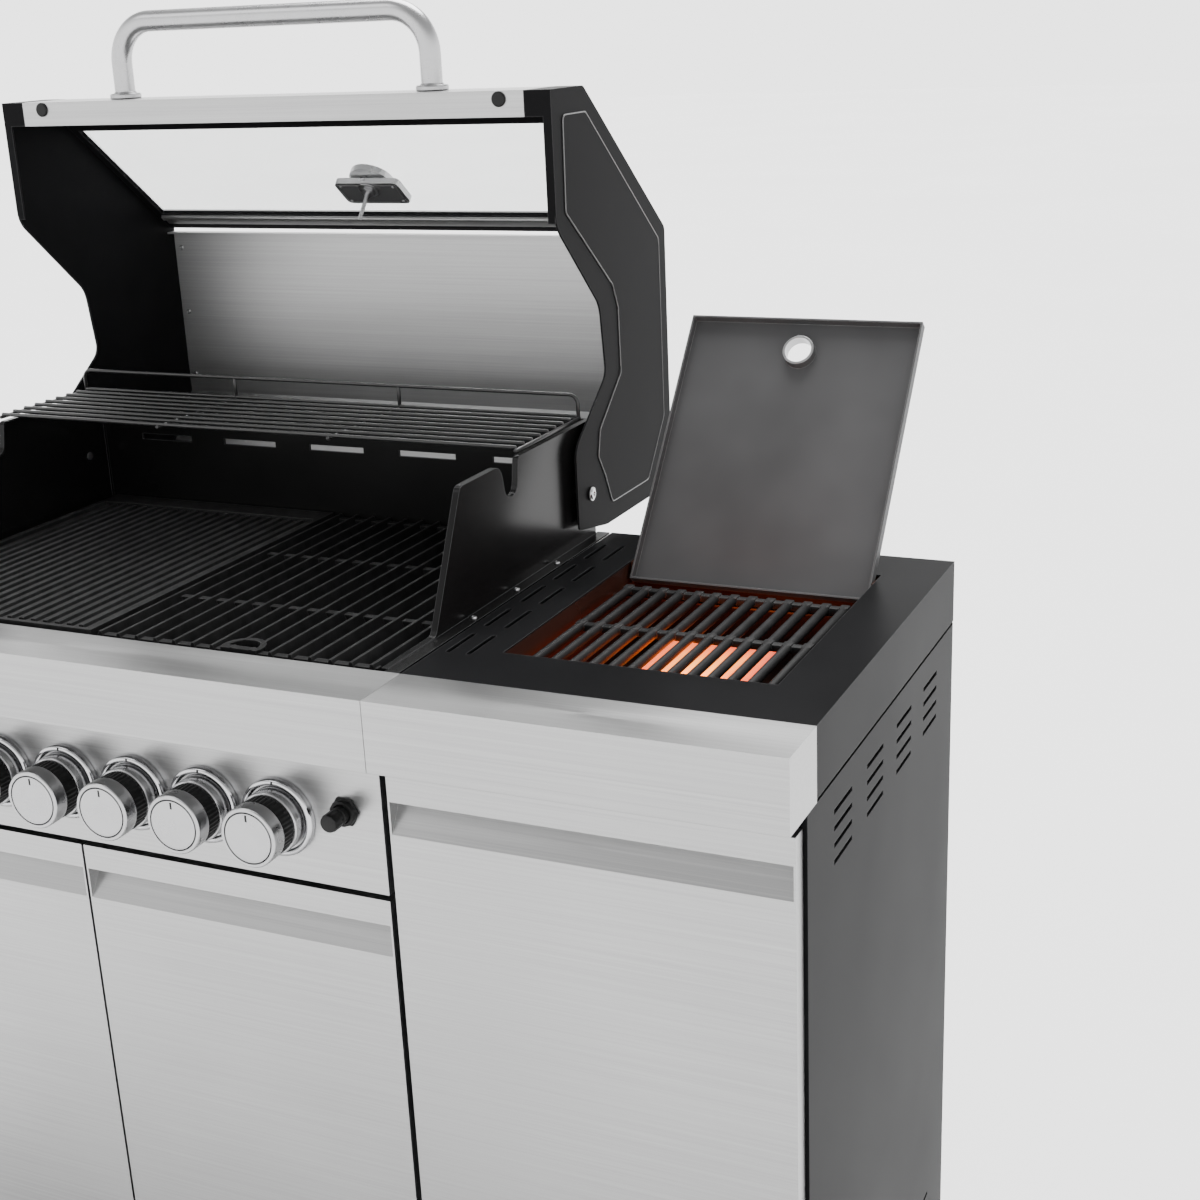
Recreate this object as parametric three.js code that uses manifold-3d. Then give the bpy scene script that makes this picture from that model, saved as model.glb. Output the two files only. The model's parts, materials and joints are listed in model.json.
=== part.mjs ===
// Gas barbecue grill on a three-bay cabinet: main unit with an open hood, a right
// bay with an infrared side burner under a lid, and a left bay with a plain worktop.
// Millimetres, +Z up, +X to the right, the front of the grill faces -Y.
// Everything is drawn in the deck frame: z = 0 is the worktop, y = 0 the nose of the
// worktop, x = 0 the middle of the main unit. The last lines move the origin to the
// floor, under the middle of the whole object.

import * as THREE from 'three';
import { mergeVertices } from 'three/addons/utils/BufferGeometryUtils.js';
import Module from 'manifold-3d';

const wasm = await Module();
wasm.setup();

// ---------------------------------------------------------------- driving sizes

const GAP = 0.3;                 // clearance between two pieces that touch
const SHEET = 2;                 // steel sheet of cabinet, worktop and doors
const OVER = 5;                  // how far a cutting body runs past the piece it cuts

const DECK_HEIGHT = 905;         // worktop above the floor
const DECK_DEPTH = 555;          // front nose to back edge of the worktop
const MAIN_WIDTH = 726;          // firebox and hood, over their side panels
const BAY_WIDTH = 400;           // one side bay
const BAY_SPACE = 4;             // between hood side and worktop edge
const NOSE_DEPTH = 72;           // stainless nose along the front of the worktop
const NOSE_HEIGHT = 70;
const SKIRT_HEIGHT = 67;         // turned-down edge of the black worktop

const CABINET_FLOOR = -830;      // underside of the cabinet base
const BASE_LIP = 25;             // upturned edge of the cabinet base
const FOOT_RADIUS = 26;
const FOOT_INSET = 62;           // foot centre from the cabinet's outer faces

const DOOR_FACE = 25;            // y of the doors' and the control panel's front
const DOOR_THICKNESS = 19;
const BAY_DOOR_TOP = -82;
const MAIN_DOOR_TOP = -212;
const DOOR_FOOT = -822;
const DOOR_MIDDLE_GAP = 3;       // between the two main doors
const BAY_DOOR_INSET = 3.6;      // bay door's edges from the bay's edges
const GRIP_BAND = 26.5;          // flat band above the grip pocket
const GRIP_HEIGHT = 33;
const GRIP_DEPTH = 17;
const PIVOT_INSET = 4;           // door pivot from the door's outer edge
const PIVOT_DEPTH = 6;           // door pivot behind the door's front

const PANEL_BOTTOM = -206;       // lower edge of the control panel
const KNOB_COUNT = 7;
const KNOB_LEFT = 102;           // first knob from the main unit's left side
const KNOB_RIGHT = 114;          // last knob from its right side
const KNOB_Z = -141;
const KNOB_RADIUS = 30.5;
const KNOB_REACH = 53;           // knob face in front of the control panel
const BEZEL_RADIUS = 40;
const BEZEL_DEPTH = 8;
const STEM_RADIUS = 4;
const IGNITER_INSET = 39;        // igniter from the main unit's right side
const IGNITER_Z = -125;
const IGNITER_RADIUS = 9.2;
const IGNITER_REACH = 31;

const FIREBOX_WALL = 7;          // sheet of the firebox's side wall with its inward flange
const WALL_HEIGHT = 135;         // firebox walls above the worktop
const FIREBOX_FRONT = 78;
const FIREBOX_BACK = 548;
const FIREBOX_FLOOR = -160;
const NOTCH_Y = 345;             // spit notch
const NOTCH_WIDTH = 36;
const NOTCH_DEPTH = 38;
const LOUVRE_COUNT = 5;
const LOUVRE_PITCH = 127;
const LOUVRE_LENGTH = 77;
const LOUVRE_HEIGHT = 7;
const LOUVRE_Z = 80;
const LOUVRE_SHIFT = 7;          // middle louvre from the middle of the grill

const GRATE_TOP = 0;             // cooking surface
const GRATE_THICKNESS = 14;
const GRATE_SLATS = 15;
const SLAT_WIDTH = 12;           // at its foot; its ridge is a quarter of that
const CROSS_BARS = [86, 214, 376, 530];  // y of the front side of each
const GRIDDLE_RIBS = 19;
const GRIDDLE_BACK = 35;         // flat strip at the griddle's back
const LIFT_RING = 23;            // radius of the half ring at the grate's front
const LIFT_RING_X = 174;
const RACK_Z = 139;
const RACK_FRONT = 368;
const RACK_DEPTH = 154;
const RACK_WIRES = 9;
const RACK_RAIL = 24;            // back rail above the rack
const WIRE_RADIUS = 2.2;
const BURNER_COUNT = 6;
const BURNER_RADIUS = 11;
const BURNER_Z = -105;

const HINGE_Y = 513;             // hood pivot
const HINGE_Z = 57;
const HOOD_OPEN = 90;            // degrees from closed to the open stop
const HOOD_BOTTOM = 3;           // hood's lower edge when closed
const HOOD_FRONT = 71;
const BAND_HEIGHT = 80;          // upright stainless band at the hood's front
const BAND_DEPTH = 27;
const ROOF_Z = 298;
const ROOF_FRONT = 245;
const ROOF_BACK = 477;
const HOOD_BACK = 560;
const HOOD_BACK_TOP = 230;
const SKIN_END = 98;             // lower edge of the hood's back skin
const HOOD_SIDE_DEPTH = 11;      // flange of the hood's side panels
const HOOD_SHEET = 2.5;
const FRAME_DEPTH = 10;          // window frame
const WINDOW_LOW = 52;           // glass from the frame's lower edge
const WINDOW_HEIGHT = 188;
const WINDOW_SIDE = 10;
const GLASS = 4;
const GAUGE_X = 7;               // thermometer from the middle of the hood
const GAUGE_UP = 186;            // thermometer's middle from the window's lower edge
const PROBE_UP = 177;
const PROBE_LENGTH = 38;
const HANDLE_SPAN = 412;
const HANDLE_SHIFT = -6;         // middle of the handle from the middle of the hood
const HANDLE_REACH = 86;
const HANDLE_RADIUS = 12;
const HANDLE_BEND = 48;
const HANDLE_Z = 46;

const WELL_LEFT = 65;            // side-burner opening from the bay's inner edge
const WELL_WIDTH = 274;
const WELL_FRONT = 152;
const WELL_DEPTH = 334;
const WELL_FLOOR = -110;
const LID_OPEN = 129.5;            // degrees from closed to the open stop
const LID_THICKNESS = 12;
const LID_CLEARANCE = 3;
const LID_PIVOT_BACK = 21.7;     // lid pivot in front of the opening's back edge
const LID_PIVOT_Z = -5.5;
const LID_PIN_RADIUS = 2;
const FINGER_HOLE = 16;          // radius
const SIDE_GRATE_TOP = -14;
const SIDE_GRATE_BARS = 13;
const SIDE_GRATE_MARGIN = 17;    // outer bars from the opening's sides
const SIDE_BAR_RADIUS = 5;
const CERAMIC_WIDTH = 120;
const CERAMIC_DEPTH = 200;
const CERAMIC_Z = -60;

const TRAY_TOP = -168;
const TRAY_HEIGHT = 22;

// ---------------------------------------------------------------- derived places

const mainHalf = MAIN_WIDTH / 2;
const bayInner = mainHalf + BAY_SPACE;
const bayOuter = bayInner + BAY_WIDTH;
const wallOuter = mainHalf - HOOD_SIDE_DEPTH - SHEET;
const wallInner = wallOuter - FIREBOX_WALL;
const partitionX = bayInner + 3;
const sideFlange = 12;
const panelFront = 46;
const panelTop = -NOSE_HEIGHT - GAP;
const hingeOpenBack = HINGE_Y + ROOF_Z - HINGE_Z;
const originY = (DOOR_FACE - KNOB_REACH + hingeOpenBack) / 2;
const wellX0 = bayInner + WELL_LEFT;
const wellX1 = wellX0 + WELL_WIDTH;
const wellY1 = WELL_FRONT + WELL_DEPTH;
const grateHalf = wallInner - 9;
const knobPitch = (MAIN_WIDTH - KNOB_LEFT - KNOB_RIGHT) / (KNOB_COUNT - 1);
const knobX = Array.from({ length: KNOB_COUNT }, (_, i) => KNOB_LEFT - mainHalf + i * knobPitch);
const igniterX = mainHalf - IGNITER_INSET;
const burnerPitch = 2 * wallInner / BURNER_COUNT;
const burnerX = Array.from({ length: BURNER_COUNT }, (_, i) => (i - (BURNER_COUNT - 1) / 2) * burnerPitch);

// ---------------------------------------------------------------- materials

const finish = (color, roughness, metalness) =>
  new THREE.MeshStandardMaterial({ color, roughness, metalness });
const STAINLESS = finish(0xb9babb, 0.34, 1);
const BLACK_PAINT = finish(0x232324, 0.45, 0.1);
const BLACK_ENAMEL = finish(0x141414, 0.3, 0.1);
const CAST_IRON = finish(0x2e2e2e, 0.7, 0.3);
const CHROME = finish(0xd8d8d8, 0.12, 1);
const BLACK_PLASTIC = finish(0x181818, 0.5, 0);
const GLASS_CLEAR = finish(0xdfe3e4, 0.05, 0);
const CERAMIC = finish(0xe07a35, 0.9, 0);
const BRASS = finish(0xb08d4a, 0.35, 1);

// ---------------------------------------------------------------- shape helpers

function toSolid(geometry) {
  const bare = geometry.clone();
  bare.deleteAttribute('normal');
  bare.deleteAttribute('uv');
  const merged = mergeVertices(bare, 1e-4);
  const mesh = new wasm.Mesh({
    numProp: 3,
    vertProperties: new Float32Array(merged.attributes.position.array),
    triVerts: new Uint32Array(merged.index.array),
  });
  return new wasm.Manifold(mesh);
}

function toGeometry(solid) {
  const { vertProperties, triVerts } = solid.getMesh();
  const geometry = new THREE.BufferGeometry();
  geometry.setAttribute('position', new THREE.BufferAttribute(new Float32Array(vertProperties), 3));
  geometry.setIndex(new THREE.BufferAttribute(new Uint32Array(triVerts), 1));
  return geometry;
}

const join = (first, ...rest) => rest.reduce((sum, next) => sum.add(next), first);
const cut = (body, ...tools) => tools.reduce((left, tool) => left.subtract(tool), body);

function box(x0, x1, y0, y1, z0, z1) {
  const geometry = new THREE.BoxGeometry(x1 - x0, y1 - y0, z1 - z0);
  geometry.translate((x0 + x1) / 2, (y0 + y1) / 2, (z0 + z1) / 2);
  return toSolid(geometry);
}

// A round bar from one point to another.
function rod(from, to, radius, sides = 12) {
  const start = new THREE.Vector3(...from);
  const end = new THREE.Vector3(...to);
  const along = end.clone().sub(start);
  const geometry = new THREE.CylinderGeometry(radius, radius, along.length(), sides);
  const turn = new THREE.Quaternion().setFromUnitVectors(new THREE.Vector3(0, 1, 0), along.normalize());
  geometry.applyQuaternion(turn);
  geometry.translate(...start.add(end).multiplyScalar(0.5).toArray());
  return toSolid(geometry);
}

// A (y, z) outline carried along X from x0 to x1.
function alongX(outline, x0, x1, bevel = 0) {
  const shape = outline instanceof THREE.Shape ? outline : new THREE.Shape(outline.map((p) => new THREE.Vector2(...p)));
  const geometry = new THREE.ExtrudeGeometry(shape, {
    depth: x1 - x0,
    curveSegments: 5,
    bevelEnabled: bevel > 0,
    bevelThickness: bevel,
    bevelSize: bevel,
    bevelOffset: -bevel,
    bevelSegments: 1,
  });
  const basis = new THREE.Matrix4().makeBasis(
    new THREE.Vector3(0, 1, 0), new THREE.Vector3(0, 0, 1), new THREE.Vector3(1, 0, 0));
  geometry.applyMatrix4(basis);
  geometry.translate(x0, 0, 0);
  return toSolid(geometry);
}

// A closed outline whose corners are rounded, each with its own radius.
function roundedOutline(corners) {
  const shape = new THREE.Shape();
  const count = corners.length;
  corners.forEach(([y, z, radius = 0], i) => {
    const before = corners[(i + count - 1) % count];
    const after = corners[(i + 1) % count];
    const here = new THREE.Vector2(y, z);
    const back = new THREE.Vector2(before[0], before[1]).sub(here).setLength(radius).add(here);
    const ahead = new THREE.Vector2(after[0], after[1]).sub(here).setLength(radius).add(here);
    if (i === 0) shape.moveTo(back.x, back.y);
    else shape.lineTo(back.x, back.y);
    if (radius > 0) shape.quadraticCurveTo(here.x, here.y, ahead.x, ahead.y);
  });
  return shape;
}

// The corners of a rounded outline moved inwards by the same distance on every side.
function inset(corners, distance) {
  const points = corners.map(([y, z]) => new THREE.Vector2(y, z));
  const turn = Math.sign(THREE.ShapeUtils.area(points));
  return corners.map(([y, z, radius = 0], i) => {
    const before = points[(i + points.length - 1) % points.length];
    const after = points[(i + 1) % points.length];
    const arrive = points[i].clone().sub(before).normalize();
    const leave = after.clone().sub(points[i]).normalize();
    const normal = new THREE.Vector2(-arrive.y, arrive.x);
    const mitre = new THREE.Vector2(-leave.y, leave.x).add(normal).normalize();
    const step = turn * distance / mitre.dot(normal);
    return [y + mitre.x * step, z + mitre.y * step, radius];
  });
}

// The outline of a sheet folded along a path of (y, z) points, thickness to its left.
function foldedSheet(path, thickness) {
  const line = path.map((p) => new THREE.Vector2(...p));
  const left = line.map((here, i) => {
    const before = line[Math.max(0, i - 1)];
    const after = line[Math.min(line.length - 1, i + 1)];
    const inDir = (i > 0 ? here.clone().sub(before) : after.clone().sub(here)).normalize();
    const outDir = (i < line.length - 1 ? after.clone().sub(here) : here.clone().sub(before)).normalize();
    const mitre = new THREE.Vector2(-inDir.y - outDir.y, inDir.x + outDir.x).normalize();
    return here.clone().add(mitre.multiplyScalar(thickness / mitre.dot(new THREE.Vector2(-inDir.y, inDir.x))));
  });
  return new THREE.Shape([...line, ...left.reverse()]);
}

// The cut for a long slot with round ends, lying in the worktop, along Y.
function deckSlot(x, y0, y1, width) {
  return join(
    box(x - width / 2, x + width / 2, y0 + width / 2, y1 - width / 2, -SHEET - OVER, OVER),
    rod([x, y0 + width / 2, -SHEET - OVER], [x, y0 + width / 2, OVER], width / 2, 8),
    rod([x, y1 - width / 2, -SHEET - OVER], [x, y1 - width / 2, OVER], width / 2, 8),
  );
}

function mirrored(geometry) {
  const copy = geometry.clone();
  copy.scale(-1, 1, 1);
  const index = copy.index.array;
  for (let i = 0; i < index.length; i += 3) {
    [index[i + 1], index[i + 2]] = [index[i + 2], index[i + 1]];
  }
  return copy;
}

// ---------------------------------------------------------------- the scene graph

const grill = new THREE.Group();
const hood = new THREE.Group();
hood.position.set(0, HINGE_Y, HINGE_Z);
hood.rotation.x = -THREE.MathUtils.degToRad(HOOD_OPEN);
const lid = new THREE.Group();
const lidPivotY = wellY1 - LID_PIVOT_BACK;
lid.position.set(0, lidPivotY, LID_PIVOT_Z);
lid.rotation.x = -THREE.MathUtils.degToRad(LID_OPEN);
grill.add(hood, lid);

function add(parent, name, shape, material) {
  const geometry = shape instanceof THREE.BufferGeometry ? shape : toGeometry(shape);
  const mesh = new THREE.Mesh(geometry, material);
  mesh.name = name;
  parent.add(mesh);
  return mesh;
}

// Pieces of the hood and the lid are drawn closed, then hang from their pivots.
const addHood = (name, shape, material) => add(hood, name, shape, material).position.set(0, -HINGE_Y, -HINGE_Z);
const addLid = (name, shape, material) => add(lid, name, shape, material).position.set(0, -lidPivotY, -LID_PIVOT_Z);

function addPair(name, solid, material, parent = add.bind(null, grill)) {
  const geometry = toGeometry(solid);
  parent(`${name}_right`, geometry, material);
  parent(`${name}_left`, mirrored(geometry), material);
}

// ---------------------------------------------------------------- cabinet

function cabinet() {
  const baseHalf = bayOuter - sideFlange - 1;
  const back = DECK_DEPTH - SHEET - 1;
  const base = cut(
    box(-baseHalf, baseHalf, panelFront, back, CABINET_FLOOR, CABINET_FLOOR + BASE_LIP),
    box(-baseHalf + SHEET, baseHalf - SHEET, panelFront + SHEET, back - SHEET,
      CABINET_FLOOR + SHEET, CABINET_FLOOR + BASE_LIP + OVER),
  );
  const partition = (side) => {
    const [x0, x1] = [side * partitionX, side * (partitionX + SHEET)].sort((a, b) => a - b);
    return box(x0, x1, panelFront + 4, back, CABINET_FLOOR + SHEET / 2, -SKIRT_HEIGHT - 5);
  };
  add(grill, 'cabinet_base_and_partitions', join(base, partition(1), partition(-1)), BLACK_PAINT);

  const trayHalf = wallInner - 30;
  const vent = (x) => box(x - 60, x + 60, DECK_DEPTH - OVER, DECK_DEPTH + OVER, -560, -554);
  const backPanel = cut(
    box(-bayOuter + GAP, bayOuter - GAP, DECK_DEPTH - SHEET - GAP, DECK_DEPTH - GAP,
      CABINET_FLOOR, -SKIRT_HEIGHT - 2),
    box(-trayHalf - 4, trayHalf + 4, DECK_DEPTH - OVER, DECK_DEPTH + OVER,
      TRAY_TOP - TRAY_HEIGHT - 6, TRAY_TOP + 6),
    ...[-570, -200, 200, 570].map(vent),
  );
  add(grill, 'back_panel', backPanel, BLACK_PAINT);

  const slots = [];
  for (const top of [-98.5, -746.5]) {
    for (let group = 0; group < 4; group += 1) {
      for (let row = 0; row < 4; row += 1) {
        const y = 121 + group * 103;
        const z = top - row * 16.3;
        slots.push(box(bayOuter - OVER, bayOuter + OVER, y, y + 55, z - 5, z));
      }
    }
  }
  const sidePanel = cut(
    box(bayOuter - sideFlange, bayOuter, panelFront, DECK_DEPTH - SHEET - 2 * GAP,
      CABINET_FLOOR, panelTop),
    box(bayOuter - sideFlange - OVER, bayOuter - SHEET, panelFront + SHEET, DECK_DEPTH - 2 * SHEET - 2 * GAP,
      CABINET_FLOOR + SHEET, panelTop - SHEET),
    ...slots,
  );
  addPair('side_panel', sidePanel, BLACK_PAINT);

  const footX = bayOuter - FOOT_INSET;
  for (const [end, y] of [['front', FOOT_INSET + 30], ['back', DECK_DEPTH - FOOT_INSET]]) {
    const foot = join(
      rod([footX, y, -DECK_HEIGHT], [footX, y, -DECK_HEIGHT + 14], FOOT_RADIUS, 20),
      rod([footX, y, -DECK_HEIGHT + 10], [footX, y, CABINET_FLOOR - GAP], 7, 10),
      rod([footX, y, CABINET_FLOOR - 14], [footX, y, CABINET_FLOOR - GAP], 17, 6),
    );
    addPair(`foot_${end}`, foot, BLACK_PLASTIC);
  }
}

// A door is a folded tray, open at the back, with a grip pocket across its top.
function door(x0, x1, face, top) {
  const back = face + DOOR_THICKNESS;
  const bandFoot = top - GRIP_BAND;
  const crease = bandFoot - GRIP_HEIGHT;
  const pocket = [[face - OVER, bandFoot], [face + GRIP_DEPTH, bandFoot], [face + GRIP_DEPTH, bandFoot - 6],
    [face, crease], [face - OVER, crease]];
  const liner = [[face, bandFoot + SHEET], [face + GRIP_DEPTH + SHEET, bandFoot + SHEET],
    [face + GRIP_DEPTH + SHEET, bandFoot - 8], [face, crease - 3]];
  const shell = cut(
    box(x0, x1, face, back, DOOR_FOOT, top),
    box(x0 + SHEET, x1 - SHEET, face + SHEET, back + OVER, DOOR_FOOT + SHEET, top - SHEET),
  );
  return cut(join(shell, alongX(liner, x0 + SHEET / 2, x1 - SHEET / 2)), alongX(pocket, x0 + SHEET, x1 - SHEET));
}

function doors() {
  const bayDoor = door(bayInner + BAY_DOOR_INSET, bayOuter - BAY_DOOR_INSET, DOOR_FACE, BAY_DOOR_TOP);
  addPair('bay_door', bayDoor, STAINLESS);
  const mainDoor = door(DOOR_MIDDLE_GAP / 2, mainHalf + 1, DOOR_FACE, MAIN_DOOR_TOP);
  addPair('main_door', mainDoor, STAINLESS);
}

// ---------------------------------------------------------------- worktop

function nose(x0, x1) {
  return cut(
    box(x0, x1, 0, NOSE_DEPTH, -NOSE_HEIGHT, 0),
    box(x0 + SHEET, x1 - SHEET, SHEET, NOSE_DEPTH + OVER, -NOSE_HEIGHT + SHEET, -SHEET),
  );
}

function worktopShell() {
  const front = NOSE_DEPTH + 2 * GAP;
  const shell = cut(
    box(bayInner, bayOuter, front, DECK_DEPTH, -SKIRT_HEIGHT, 0),
    box(bayInner + SHEET, bayOuter - SHEET, front - OVER, DECK_DEPTH - SHEET, -SKIRT_HEIGHT - OVER, -SHEET),
  );
  const slots = [];
  for (let i = 0; i < 5; i += 1) {
    const y = 137 + i * 78.5;
    slots.push(deckSlot(bayInner + 13, y, y + 57, 5));
    slots.push(deckSlot(bayInner + 35, y, y + 57, 5));
  }
  return cut(shell, ...slots);
}

function worktop() {
  add(grill, 'nose_main', nose(-bayInner + GAP, bayInner - GAP), STAINLESS);
  addPair('nose_bay', nose(bayInner + GAP, bayOuter), STAINLESS);
  const shell = worktopShell();
  const right = cut(shell, box(wellX0, wellX1, WELL_FRONT, wellY1, -SHEET - OVER, OVER));
  add(grill, 'worktop_right', right, BLACK_PAINT);
  add(grill, 'worktop_left', mirrored(toGeometry(shell)), BLACK_PAINT);
}

// ---------------------------------------------------------------- controls

function controls() {
  const top = -NOSE_HEIGHT - GAP;
  const half = mainHalf + 1;
  const panel = cut(
    box(-half, half, DOOR_FACE, DOOR_FACE + 26, PANEL_BOTTOM, top),
    box(-half + SHEET, half - SHEET, DOOR_FACE + SHEET, DOOR_FACE + 26 + OVER,
      PANEL_BOTTOM + SHEET, top + OVER),
    ...knobX.map((x) => rod([x, 0, KNOB_Z], [x, DOOR_FACE + OVER, KNOB_Z], STEM_RADIUS + 1, 12)),
    rod([igniterX, 0, IGNITER_Z], [igniterX, DOOR_FACE + OVER, IGNITER_Z], IGNITER_RADIUS + 0.5, 16),
  );
  add(grill, 'control_panel', panel, STAINLESS);

  // Turned round the Y axis: each point is (radius, distance behind the panel's front).
  const turned = (profile, x, z, sides) => {
    const geometry = new THREE.LatheGeometry(profile.map((p) => new THREE.Vector2(...p)), sides);
    geometry.translate(x, DOOR_FACE, z);
    return geometry;
  };
  const bezelFront = -BEZEL_DEPTH;
  const bezel = [[STEM_RADIUS + 1, -2], [BEZEL_RADIUS - 6, -3], [BEZEL_RADIUS - 5, bezelFront],
    [BEZEL_RADIUS - 2, bezelFront], [BEZEL_RADIUS, bezelFront + 2], [BEZEL_RADIUS, -GAP],
    [STEM_RADIUS + 1, -GAP], [STEM_RADIUS + 1, -2]];
  const knob = [[0, -KNOB_REACH], [KNOB_RADIUS - 1.5, -KNOB_REACH], [KNOB_RADIUS, -KNOB_REACH + 1.5],
    [KNOB_RADIUS, -KNOB_REACH + 14], [KNOB_RADIUS - 2, -KNOB_REACH + 16], [KNOB_RADIUS - 1, -KNOB_REACH + 20],
    [KNOB_RADIUS - 1, -KNOB_REACH + 34], [KNOB_RADIUS + 2, -KNOB_REACH + 36],
    [KNOB_RADIUS + 2, bezelFront + 4], [STEM_RADIUS, bezelFront + 4], [STEM_RADIUS, 12], [0, 12]];
  knobX.forEach((x, i) => {
    add(grill, `bezel_${i + 1}`, cleaned(turned(bezel, x, KNOB_Z, 20)), CHROME);
    add(grill, `knob_${i + 1}`, cleaned(turned(knob, x, KNOB_Z, 18)), BLACK_PLASTIC);
  });
  const reach = -IGNITER_REACH;
  const button = [[0, reach], [IGNITER_RADIUS - 2, reach], [IGNITER_RADIUS, reach + 2], [IGNITER_RADIUS, 16], [0, 16]];
  add(grill, 'ignition_button', cleaned(turned(button, igniterX, IGNITER_Z, 20)), BLACK_PLASTIC);
}

// A turned body with its faces pointing out, whichever way its profile runs.
function cleaned(geometry) {
  const bare = geometry.clone();
  bare.deleteAttribute('normal');
  bare.deleteAttribute('uv');
  const merged = mergeVertices(bare, 1e-4);
  const index = merged.index.array;
  const kept = [];
  const p = merged.attributes.position;
  let volume = 0;
  const corner = [new THREE.Vector3(), new THREE.Vector3(), new THREE.Vector3()];
  for (let i = 0; i < index.length; i += 3) {
    const ids = [index[i], index[i + 1], index[i + 2]];
    if (ids[0] === ids[1] || ids[1] === ids[2] || ids[0] === ids[2]) continue;
    kept.push(ids);
    ids.forEach((id, k) => corner[k].fromBufferAttribute(p, id));
    volume += corner[0].dot(corner[1].clone().cross(corner[2]));
  }
  merged.setIndex(kept.flatMap(([a, b, c]) => (volume > 0 ? [a, b, c] : [a, c, b])));
  return merged;
}

// ---------------------------------------------------------------- firebox and what it holds

function firebox() {
  const front = FIREBOX_FRONT;
  const notch = [NOTCH_Y - NOTCH_WIDTH / 2, NOTCH_Y + NOTCH_WIDTH / 2];
  const notchFoot = WALL_HEIGHT - NOTCH_DEPTH;
  const wallCorners = [
    [front, FIREBOX_FLOOR], [FIREBOX_BACK, FIREBOX_FLOOR], [FIREBOX_BACK, WALL_HEIGHT],
    [notch[1] + 1, WALL_HEIGHT, 6], [notch[1] - 5, notchFoot, 12], [notch[0] + 5, notchFoot, 12],
    [notch[0] - 3, WALL_HEIGHT, 14], [237, WALL_HEIGHT, 6], [170, 1, 6], [front, 1],
  ];
  const side = cut(
    alongX(roundedOutline(wallCorners), wallInner, wallOuter),
    alongX(roundedOutline(inset(wallCorners, SHEET)), wallInner - OVER, wallOuter - SHEET),
  );
  const rail = box(wallOuter - 1, mainHalf + 1, NOSE_DEPTH + 2 * GAP, DECK_DEPTH - GAP, -SHEET, 0);
  const sideWithRail = join(side, rail);
  const other = toSolid(mirrored(toGeometry(sideWithRail)));
  const span = wallInner + 1;
  const louvre = (i) => {
    const x = LOUVRE_SHIFT + (i - (LOUVRE_COUNT - 1) / 2) * LOUVRE_PITCH;
    return box(x - LOUVRE_LENGTH / 2, x + LOUVRE_LENGTH / 2, FIREBOX_BACK - 2 * OVER, FIREBOX_BACK + OVER,
      LOUVRE_Z - LOUVRE_HEIGHT / 2, LOUVRE_Z + LOUVRE_HEIGHT / 2);
  };
  const ledgeTop = GRATE_TOP - GRATE_THICKNESS - GAP;
  const backWall = cut(
    box(-span, span, FIREBOX_BACK - 3, FIREBOX_BACK, FIREBOX_FLOOR, WALL_HEIGHT),
    ...Array.from({ length: LOUVRE_COUNT }, (_, i) => louvre(i)),
  );
  const frontWall = cut(
    box(-span, span, front, front + 3, FIREBOX_FLOOR, -8),
    ...burnerX.map((x) => rod([x, front - OVER, BURNER_Z], [x, front + 2 * OVER, BURNER_Z], BURNER_RADIUS + 0.5, 14)),
  );
  const body = join(
    sideWithRail, other, backWall, frontWall,
    box(-span, span, front, front + 16, ledgeTop - 2, ledgeTop),
    box(-span, span, FIREBOX_BACK - 18, FIREBOX_BACK, ledgeTop - 2, ledgeTop),
  );
  const pinHole = rod([-mainHalf, HINGE_Y, HINGE_Z], [mainHalf, HINGE_Y, HINGE_Z], 5 + GAP, 14);
  add(grill, 'firebox', cut(body, pinHole), BLACK_ENAMEL);

  for (const [label, side2] of [['right', 1], ['left', -1]]) {
    const pin = join(
      rod([side2 * (wallInner + SHEET + 2), HINGE_Y, HINGE_Z], [side2 * (mainHalf + 1), HINGE_Y, HINGE_Z], 5, 14),
      rod([side2 * (mainHalf + GAP), HINGE_Y, HINGE_Z], [side2 * (mainHalf + 1.7), HINGE_Y, HINGE_Z], 8, 14),
    );
    add(grill, `hood_hinge_pin_${label}`, pin, STAINLESS);
  }

  burnerX.forEach((x, i) => {
    const tube = cut(
      rod([x, front - 12, BURNER_Z], [x, FIREBOX_BACK - 40, BURNER_Z], BURNER_RADIUS, 12),
      rod([x, front - 20, BURNER_Z], [x, FIREBOX_BACK - 44, BURNER_Z], BURNER_RADIUS - 2, 12),
    );
    const port = (k) => box(x - 1.5, x + 1.5, 130 + k * 90, 200 + k * 90, BURNER_Z, BURNER_Z + BURNER_RADIUS + OVER);
    add(grill, `burner_${i + 1}`, cut(tube, ...[0, 1, 2, 3].map(port)), STAINLESS);
  });

  const pipeY = 62;
  const pipe = rod([-mainHalf + 12, pipeY, KNOB_Z], [mainHalf - 12, pipeY, KNOB_Z], 9, 10);
  const valves = knobX.map((x) => box(x - 11, x + 11, DOOR_FACE + 14, pipeY + 4, KNOB_Z - 11, KNOB_Z + 11));
  const risers = burnerX.flatMap((x) => [
    box(x - 6, x + 6, 51, 61, KNOB_Z - 4, BURNER_Z + 6),
    rod([x, 56, BURNER_Z], [x, front - 4, BURNER_Z], 5, 10),
  ]);
  add(grill, 'gas_manifold', join(pipe, ...valves, ...risers), BRASS);

  const trayHalf = wallInner - 30;
  const tray = cut(
    box(-trayHalf, trayHalf, 96, DECK_DEPTH + 6, TRAY_TOP - TRAY_HEIGHT, TRAY_TOP),
    box(-trayHalf + SHEET, trayHalf - SHEET, 96 + SHEET, DECK_DEPTH - 10, TRAY_TOP - TRAY_HEIGHT + SHEET, TRAY_TOP + OVER),
  );
  add(grill, 'grease_tray', tray, STAINLESS);
}

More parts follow.
